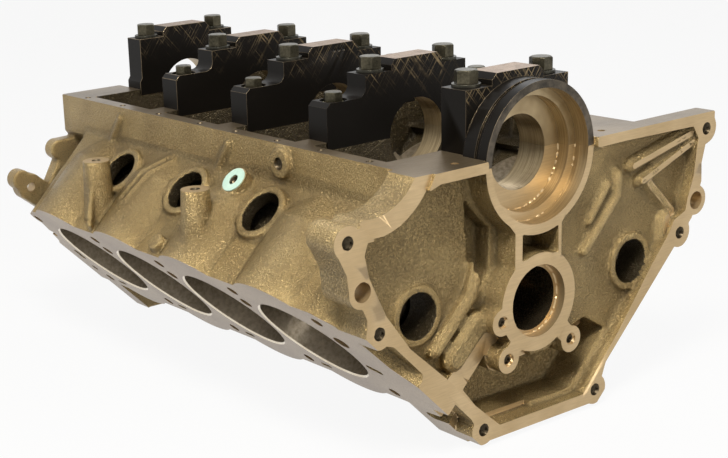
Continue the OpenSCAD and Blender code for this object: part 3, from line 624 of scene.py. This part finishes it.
def mark_sharp(me, cut):
    """Sharp edges only where a machined face ends or bends."""
    pairs, faces = edge_table(me)
    normals = read(me, "polygons", "normal", 3)
    bend = (normals[faces[:, 0]] * normals[faces[:, 1]]).sum(1)
    sharp = cut[faces].any(1) & (bend < math.cos(SHARP_BEND))
    sharp |= (cut[faces[:, 0]] != cut[faces[:, 1]]) & (bend < math.cos(RIM_BEND))
    count = len(me.vertices)
    edges = np.sort(read(me, "edges", "vertices", 2, np.int32), axis=1).astype(np.int64)
    keys = edges[:, 0] * count + edges[:, 1]
    order = np.argsort(keys)
    wanted = pairs[sharp].astype(np.int64)
    flags = np.zeros(len(keys), bool)
    flags[order[np.searchsorted(keys, wanted[:, 0] * count + wanted[:, 1], sorter=order)]] = True
    a = me.attributes.get("sharp_edge") or me.attributes.new("sharp_edge", "BOOLEAN", "EDGE")
    a.data.foreach_set("value", flags)


def face_materials(me, source, done):
    """Material of each face, as the nearest face of the source and by its place. Also the cut ones."""
    tri = read(source, "polygons", "vertices", 3, np.int32)
    tree = BVHTree.FromPolygons(read(source, "vertices", "co", 3).tolist(), tri.tolist())
    centres = read(me, "polygons", "center", 3)
    normals = read(me, "polygons", "normal", 3)
    cut = done[[tree.find_nearest(c)[2] for c in centres]]
    index = np.zeros(len(centres), np.int32)

    def paint(where, material):
        index[where] = CASTING_LOOKS.index(material)

    paint(cut, MACHINED)
    x, y, z = centres.T
    along = abs(normals[:, 1])
    crank = np.hypot(x, z)
    paint(cut & (crank < CRANK_BORES * MM) & (along < 0.3), BRIGHT_BORE)
    inwards = normals[:, 0] * x + normals[:, 2] * z < 0
    bays = (y > BAY_START * MM) & (y < (BLOCK_LEN - BAY_FRONT_WALL) * MM)
    # Painted shade: cast walls facing into the bays, the webs and the end cores take the darkened copy
    # of the skin.
    paint(~cut & bays & inwards & (crank < BAY_R * MM) & (z > BAY_FLOOR * MM), CAST_PAINTED_SHADE)
    paint(~cut & bays & (along > 0.7) & (crank < BAY_WEB_R * MM), CAST_PAINTED_SHADE)
    for side, mouth in END_CORE_MOUTHS:
        core = np.hypot(x - side * END_CORE[0] * MM, z - END_CORE[1] * MM)
        paint((core < END_CORE_R * MM) & (y > mouth * MM) & (y < REAR_WALL * MM), CAST_PAINTED_SHADE)
    # Painted reflection: the upward faces of the sump rail take the dark milled copy.
    paint(cut & (normals[:, 2] > 0.95) & (z > (RAIL_TOP - 0.2) * MM), RAIL_PAINTED_REFLECTION)
    cam = np.hypot(x, z - CAM_Z * MM)
    # Painted shade: the cam tunnel's bore takes the dark copy.
    paint(cut & (cam < CAM_TUNNEL * MM) & (along < 0.3), TUNNEL_PAINTED_SHADE)
    for up, first, height, across in bank_places(centres):
        facing = normals @ up
        tilted = abs(facing)
        # Painted shade: the downward-facing decks take the darker milled copy.
        paint(cut & (facing > 0.95) & (height > (DECK_H - FACE_MARGIN) * MM), DECK_PAINTED_SHADE)
        jacket = (height > JACKET[0] * MM) & (height < JACKET[1] * MM)
        jacket &= (abs(across) < JACKET_HALF * MM) & (y > BAY_START * MM) & (y < JACKET_END * MM)
        # Painted shade: cast faces in the water jacket take the darkened copy of the skin.
        paint(~cut & jacket, CAST_PAINTED_SHADE)
        # Painted shade: cast faces in the core holes between the bores take the darkened copy of the
        # skin.
        wall = (abs(across) > CORE_WALL[0] * MM) & (abs(across) < CORE_WALL[1] * MM)
        for k in range(BORES_PER_BANK - 1):
            row = (first + (k + 0.5) * BORE_PITCH) * MM
            core = np.hypot(y - row, height - CORE_H * MM)
            paint(~cut & wall & (core < CORE_R * MM), CAST_PAINTED_SHADE)
        for k in range(BORES_PER_BANK):
            reach = np.hypot(across, y - (first + k * BORE_PITCH) * MM)
            ring = cut & (reach < (BORE_R + 2.5) * MM) & (height > BORE_FOOT * MM)
            paint(ring & (tilted < 0.2), HONED)
            paint(ring & (tilted > 0.2) & (tilted < 0.95), CHAMFER)
    return index, cut


def with_ribs(me):
    """Adds the round backs of the ribs in the bell cavity to the form."""
    bm = bmesh.new()
    bm.from_mesh(me)
    for x0, z0, x1, z1, width, crest in RIB_BACKS:
        a = Vector((x0, crest + width / 2, z0)) * MM
        b = Vector((x1, crest + width / 2, z1)) * MM
        turn = (b - a).to_track_quat("Z", "Y").to_matrix().to_4x4()
        turn.translation = (a + b) / 2
        radius = width / 2 * MM
        bmesh.ops.create_cone(bm, cap_ends=True, segments=RIB_SIDES, radius1=radius, radius2=radius,
                              depth=(b - a).length, matrix=turn)
        for end in (a, b):
            bmesh.ops.create_icosphere(bm, subdivisions=2, radius=radius,
                                       matrix=Matrix.Translation(end))
    bmesh.ops.triangulate(bm, faces=bm.faces)
    bm.to_mesh(me)
    bm.free()


def cast_skin():
    """The whole casting as a dense skin, relaxed where it is as cast, then thinned out."""
    source = welded("cylinder_block")
    with_ribs(source)
    done = tag_machined(source)
    form = linked("form", source)
    edges = linked("edges", feature_edges(source, done))
    dense = linked("dense", source)
    grid = dense.modifiers.new("grid", "REMESH")
    grid.mode = "VOXEL"
    grid.voxel_size = VOXEL
    grid.adaptivity = 0
    dense.modifiers.new("probe", "NODES").node_group = probe_group(form, edges)
    me = evaluated(dense)
    cut = attribute(me, "cut", 1) > 0.5
    co = attribute(me, "surface", 3)
    snapped = attribute(me, "gap", 1) < SNAP * VOXEL
    co[snapped] = attribute(me, "edge", 3)[snapped]
    pairs = read(me, "edges", "vertices", 2, np.int32)
    normals = read(me, "vertices", "normal", 3)
    co = relaxed(co, pairs, normals, ~(cut | snapped), SMOOTH_STEPS)
    me.vertices.foreach_set("co", co.ravel())
    me.update()
    thick = linked("thick", me)
    triangles = 2 * len(me.polygons)
    thin = thick.modifiers.new("thin", "DECIMATE")
    thin.ratio = SKIN_TRIANGLES / triangles
    thin.use_collapse_triangulate = True
    skin = evaluated(thick)
    for ob in (form, edges, dense, thick):
        bpy.data.objects.remove(ob)
    for a in ("cut", "surface", "edge", "gap"):
        skin.attributes.remove(skin.attributes[a])
    return skin, source, done


def in_seats(centres):
    """True for faces inside the crank seal seat or the cam plug recess."""
    y = centres[:, 1]
    crank = np.hypot(centres[:, 0], centres[:, 2])
    cam = np.hypot(centres[:, 0], centres[:, 2] - CAM_Z * MM)
    seat = (crank < SEAT_R * MM) & (y > (RING_FACE + FACE_MARGIN) * MM) & (y < SEAT_END * MM)
    plug = (cam < PLUG_R * MM) & (y > (CAM_FACE + FACE_MARGIN) * MM) & (y < PLUG_END * MM)
    return seat | plug


def turned_seats(skin, source, done):
    """The exact turned faces of the seats, over a skin that is sunk a little under them."""
    tri = read(skin, "polygons", "vertices", 3, np.int32)
    inside = in_seats(read(skin, "polygons", "center", 3))
    whole = np.ones(len(skin.vertices), bool)
    whole[tri[~inside].ravel()] = False
    co = read(skin, "vertices", "co", 3)
    co[whole] -= read(skin, "vertices", "normal", 3)[whole] * SEAT_SINK
    skin.vertices.foreach_set("co", co.ravel())
    skin.update()
    bm = bmesh.new()
    bm.from_mesh(source)
    bm.faces.ensure_lookup_table()
    keep = done & in_seats(read(source, "polygons", "center", 3))
    bmesh.ops.delete(bm, geom=[bm.faces[i] for i in np.flatnonzero(~keep)], context="FACES")
    seats = bpy.data.meshes.new("turned_seats")
    bm.to_mesh(seats)
    bm.free()
    return seats


def cast_piece(name, me, source, done):
    """A piece of the casting with the material of each face and normals led by the large faces."""
    index, cut = face_materials(me, source, done)
    me.polygons.foreach_set("material_index", index)
    me.polygons.foreach_set("use_smooth", np.ones(len(index), bool))
    mark_sharp(me, cut)
    ob = put(name, me, CASTING_LOOKS)
    w = ob.modifiers.new("flats", "WEIGHTED_NORMAL")
    w.mode = "FACE_AREA"
    w.weight = 80
    w.keep_sharp = True
    return ob


def casting():
    skin, source, done = cast_skin()
    cast_piece("seat_faces", turned_seats(skin, source, done), source, done)
    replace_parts(cast_piece("casting", skin, source, done), "cylinder_block")


def eased(ob, width, edge_slot):
    """Bevels the sharp edges a little, as machining and handling leave them."""
    b = ob.modifiers.new("eased", "BEVEL")
    b.width = width
    b.segments = 2
    b.limit_method = "ANGLE"
    b.angle_limit = math.radians(35)
    # The bevel faces take the material in edge_slot; on the caps that is the edge wear and painted
    # highlight.
    b.material = edge_slot
    b.harden_normals = True


def joined_faces(node):
    """The node's mesh with its flat faces whole."""
    bm = bmesh.new()
    me = welded(node)
    bm.from_mesh(me)
    bmesh.ops.dissolve_limit(bm, angle_limit=math.radians(1), verts=bm.verts, edges=bm.edges)
    return bm, me


def shaded(bm, me, angle=30):
    """The finished mesh, smooth except at edges sharper than the angle in degrees."""
    bm.to_mesh(me)
    bm.free()
    me.polygons.foreach_set("use_smooth", np.ones(len(me.polygons), bool))
    me.set_sharp_from_angle(angle=math.radians(angle))
    return me


def plain_piece(name, node, width, materials):
    """A piece as the CAD has it, with eased edges."""
    bm, me = joined_faces(node)
    ob = put(name, shaded(bm, me), materials)
    eased(ob, width, 0)
    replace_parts(ob, node)


def punched(me, places, radius):
    """The mesh with small round dents at the places."""
    bm = bmesh.new()
    for p in places:
        bmesh.ops.create_icosphere(bm, subdivisions=3, radius=radius, matrix=Matrix.Translation(p))
    balls = bpy.data.meshes.new("balls")
    bm.to_mesh(balls)
    bm.free()
    tool, body = linked("punch", balls), linked("punched", me)
    cut = body.modifiers.new("dents", "BOOLEAN")
    cut.operation = "DIFFERENCE"
    cut.solver = "EXACT"
    cut.object = tool
    out = evaluated(body)
    for ob in (tool, body):
        bpy.data.objects.remove(ob)
    return out


def main_cap(tag):
    """Black cap: bare crown and ring face, bright bore, and bronze bevelled edges that are partly wear
    and partly painted highlight.
    """
    node = "main_cap_" + tag
    bm, me = joined_faces(node)
    top = max(v.co.z for v in bm.verts)
    front = min(v.co.y for v in bm.verts)
    bright = CAP_LOOKS.index(BRIGHT_BORE)
    for f in bm.faces:
        c, n = f.calc_center_median(), f.normal
        reach = math.hypot(c.x, c.z)
        if n.z > 0.9 and c.z > top - CROWN_DEPTH * MM:
            f.material_index = CAP_LOOKS.index(CROWN)
        elif abs(n.y) < 0.2 and reach < CRANK_BORES * MM and n.x * c.x + n.z * c.z < 0:
            f.material_index = bright
        elif tag == "rear" and n.y < -0.9 and c.y < front + CROWN_DEPTH * MM:
            f.material_index = CAP_LOOKS.index(RING)
        elif abs(n.y) > 0.9 and max(math.hypot(v.co.x, v.co.z) for v in f.verts) < SEAT_R * MM:
            f.material_index = bright
    me = shaded(bm, me)
    if tag == "3":
        dots = [Vector(p) * MM for p in PUNCH_DOTS]
        me = punched(me, dots, PUNCH_R * MM)
        # Painted shade: faces inside the dents take the near-black colour.
        for f in me.polygons:
            if min((f.center - d).length for d in dots) < PUNCH_R * MM and f.center.y > dots[0].y:
                f.material_index = CAP_LOOKS.index(PUNCH_PAINTED_SHADE)
    ob = put("cap_" + tag, me, CAP_LOOKS)
    eased(ob, EDGE_EASE["cap"] * MM, CAP_LOOKS.index(EDGE_WEAR_AND_HIGHLIGHT))
    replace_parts(ob, node)


def head_tops(bm):
    """The flat tops of the bolt heads."""
    top = max(v.co.z for v in bm.verts)
    return [f for f in bm.faces if f.normal.z > 0.9 and f.calc_center_median().z > top - 0.1 * MM]


def bolt_pair(name, node, flats):
    """Hex bolts whose heads have the turned chamfer of a real one."""
    bm, me = joined_faces(node)
    ring_r = HEAD_RING * (flats / 2 * MM)
    for f in head_tops(bm):
        bmesh.ops.subdivide_edges(bm, edges=list(f.edges), cuts=HEAD_CUTS)
    for f in head_tops(bm):
        centre = sum((v.co for v in f.verts), Vector()) / len(f.verts)
        rim = list(f.verts)
        bmesh.ops.inset_individual(bm, faces=[f], thickness=0.5 * MM)
        for v in f.verts:
            out = (v.co - centre).normalized()
            v.co = centre + out * ring_r
        for v in rim:
            v.co.z -= max((v.co - centre).length - ring_r, 0) * math.tan(HEAD_SLOPE)
    ob = put(name, shaded(bm, me, 24), [BOLT])
    eased(ob, EDGE_EASE["bolt"] * MM, 0)
    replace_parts(ob, node)


# Threads in the tapped holes

def thread(bm, mouth, out, radius, depth, pitch):
    """A countersink and a helical thread on the wall of a hole, from its mouth inwards."""
    turn = Vector(out).to_track_quat("Z", "Y").to_matrix().to_4x4()
    turn.translation = Vector(mouth)
    minor = radius - THREAD_SHARE * pitch
    lead_in = radius - minor
    rows = int(2 * (depth - lead_in) / pitch)
    grid = []
    for i in range(-1, rows):
        ring = []
        for j in range(THREAD_SIDES):
            angle = 2 * math.pi * j / THREAD_SIDES
            r = radius - THREAD_GAP if i < 0 or i % 2 else minor
            z = -THREAD_GAP if i < 0 else -lead_in - pitch * (i / 2 + j / THREAD_SIDES)
            at = Vector((math.cos(angle) * r, math.sin(angle) * r, z)) * MM
            ring.append(bm.verts.new(turn @ at))
        grid.append(ring)
    for i in range(rows):
        for j in range(THREAD_SIDES):
            k = j + 1
            low, high = i, i + 1
            if k == THREAD_SIDES and i > 0:
                low, high = i + 2, i + 3
            if high > rows:
                continue
            a, b = grid[i][j], grid[i + 1][j]
            c, d = grid[high][k % THREAD_SIDES], grid[low][k % THREAD_SIDES]
            bm.faces.new((a, b, c, d))


def bank_point(side, out, along, up):
    """A point given by its distance out from the bank's midplane, along the crank and up the bank."""
    s = S45 * side
    return Vector((s * out + s * up, along, S45 * (out - up))) * MM


def tapped_holes():
    """The threads on the flange, the cam boss, the sump rail, the side bosses and the pad."""
    bm = bmesh.new()
    for x, z in CAM_LOBES:
        thread(bm, Vector((x, CAM_FACE, z)) * MM, (0, -1, 0), *CAM_THREAD)
    for x, z in BELL_HOLES:
        thread(bm, Vector((x, 0, z)) * MM, (0, -1, 0), *FLANGE_THREAD)
    for y in RAIL_ROWS:
        for x in (-RAIL_BOLT_X, RAIL_BOLT_X):
            thread(bm, Vector((x, y, RAIL_TOP)) * MM, (0, 0, 1), *RAIL_THREAD)
    for y in BOSS_ROWS:
        thread(bm, Vector((BOSS_X, y, -BOSS_DROP)) * MM, (0, 0, 1), *BOSS_THREAD)
    thread(bm, Vector(SKIRT_BOSS) * MM, (-1, 0, 0), *FLANGE_THREAD)
    thread(bm, bank_point(-1, PAD_FACE, *PAD_HOLE), NEAR_OUT, *PAD_THREAD)
    me = bpy.data.meshes.new("threads")
    bm.normal_update()
    bm.to_mesh(me)
    bm.free()
    put("threads", me, [THREAD_PAINTED_SHADE])


casting()
CAP_NODES = ["rear", "2", "3", "4", "front"]
for tag in CAP_NODES:
    main_cap(tag)
    plain_piece("inner_washer_pair_" + tag, "inner_washers_" + tag, EDGE_EASE["washer"] * MM,
                [DARK_WASHER])
    bolt_pair("inner_bolt_pair_" + tag, "inner_bolts_" + tag, INNER_FLATS)
for tag in CAP_NODES[1:4]:
    plain_piece("outer_washer_pair_" + tag, "outer_washers_" + tag, EDGE_EASE["washer"] * MM,
                [YELLOW_WASHER])
    bolt_pair("outer_bolt_pair_" + tag, "outer_bolts_" + tag, OUTER_FLATS)
plain_piece("pad", "pad_ring", EDGE_EASE["pad"] * MM, [PAD])
tapped_holes()


# Stage, light and camera

FLOOR_Z = CAD_BOX[0].z
FLOOR_Y = 0.27
FLOOR_SIZE = 12.0
FLOOR_GREY = 0.5
SEEN_WHITE = 0.92
AMBIENT = 0.1

# Lamps: name, place, aim, size, power and colour.
LAMPS = [("key", (-0.8, -0.5, 1.3), (-0.12, 0.12, -0.1), (0.5, 0.5), 46, (1, 0.96, 0.88)),
         ("front", (0.5, -1.9, 0.6), (0, 0, -0.1), (1.0, 0.7), 16, (1, 0.97, 0.92)),
         ("rim", (1.4, 1.2, 1.4), (0, 0.3, 0), (1.0, 1.0), 8, (1, 1, 1))]


def floor():
    """A mid-grey floor for the light on the object, which the camera and reflections see as white."""
    bpy.ops.mesh.primitive_plane_add(size=FLOOR_SIZE, location=(0, FLOOR_Y, FLOOR_Z))
    ob = bpy.context.object
    ob.name = "floor"
    m, nodes, links, bsdf = new_material("white_floor")
    bsdf.inputs["Base Color"].default_value = (*grey(FLOOR_GREY), 1)
    bsdf.inputs["Roughness"].default_value = 0.9
    white = nodes.new("ShaderNodeEmission")
    white.inputs["Color"].default_value = (1, 1, 1, 1)
    white.inputs["Strength"].default_value = 1.0
    path = nodes.new("ShaderNodeLightPath")
    mix = nodes.new("ShaderNodeMixShader")
    seen = math_node(nodes, links, "MAXIMUM", path.outputs["Is Camera Ray"],
                     math_node(nodes, links, "MAXIMUM", path.outputs["Is Glossy Ray"],
                               path.outputs["Is Transmission Ray"]))
    share = math_node(nodes, links, "MULTIPLY", seen, SEEN_WHITE)
    links.new(share, mix.inputs["Fac"])
    links.new(bsdf.outputs[0], mix.inputs[1])
    links.new(white.outputs[0], mix.inputs[2])
    links.new(mix.outputs[0], nodes["Material Output"].inputs["Surface"])
    ob.data.materials.append(m)


def world():
    """White where it is seen, directly or by reflection, and dim as a light."""
    w = bpy.data.worlds.new("studio")
    bpy.context.scene.world = w
    w.use_nodes = True
    nodes, links = w.node_tree.nodes, w.node_tree.links
    back = nodes["Background"]
    back.inputs["Color"].default_value = (1, 1, 1, 1)
    path = nodes.new("ShaderNodeLightPath")
    seen = path.outputs["Is Camera Ray"]
    for ray in ("Is Glossy Ray", "Is Transmission Ray"):
        seen = math_node(nodes, links, "MAXIMUM", seen, path.outputs[ray])
    lit = math_node(nodes, links, "MULTIPLY", math_node(nodes, links, "SUBTRACT", 1.0, seen), AMBIENT)
    links.new(math_node(nodes, links, "ADD", seen, lit), back.inputs["Strength"])


def area_light(name, place, aim, size, power, colour):
    data = bpy.data.lights.new(name, "AREA")
    data.shape = "RECTANGLE"
    data.size, data.size_y = size
    data.energy = power
    data.color = colour
    ob = bpy.data.objects.new(name, data)
    bpy.context.scene.collection.objects.link(ob)
    ob.location = place
    ob.rotation_euler = (Vector(aim) - Vector(place)).to_track_quat("-Z", "Y").to_euler()


def photo_camera():
    """The camera fitted to the photograph, whose picture is 728 by 458."""
    width, height = 728, 458
    focal_px = 1478.97
    azimuth, elevation, roll = math.radians(-34.6706), math.radians(16.9536), math.radians(-2.8301)
    place = Vector((-860.16, -787.99, 260.40)) * MM
    centre = (221.51, 278.60)
    back = Vector((math.sin(azimuth) * math.cos(elevation),
                   -math.cos(azimuth) * math.cos(elevation), math.sin(elevation)))
    right = (-back).cross(Vector((0, 0, 1))).normalized()
    up = right.cross(-back)
    x = right * math.cos(roll) + up * math.sin(roll)
    y = -right * math.sin(roll) + up * math.cos(roll)
    turn = Matrix((x, y, back)).transposed().to_4x4()
    turn.translation = place
    data = bpy.data.cameras.new("photo_camera")
    data.sensor_width = 36
    data.lens = focal_px / width * data.sensor_width
    data.shift_x = (width / 2 - centre[0]) / width
    data.shift_y = (centre[1] - height / 2) / width
    data.clip_start = 0.01
    ob = bpy.data.objects.new("photo_camera", data)
    bpy.context.scene.collection.objects.link(ob)
    ob.matrix_world = turn
    bpy.context.scene.camera = ob


floor()
world()
for lamp in LAMPS:
    area_light(*lamp)
photo_camera()
bpy.context.scene.view_settings.view_transform = "Standard"
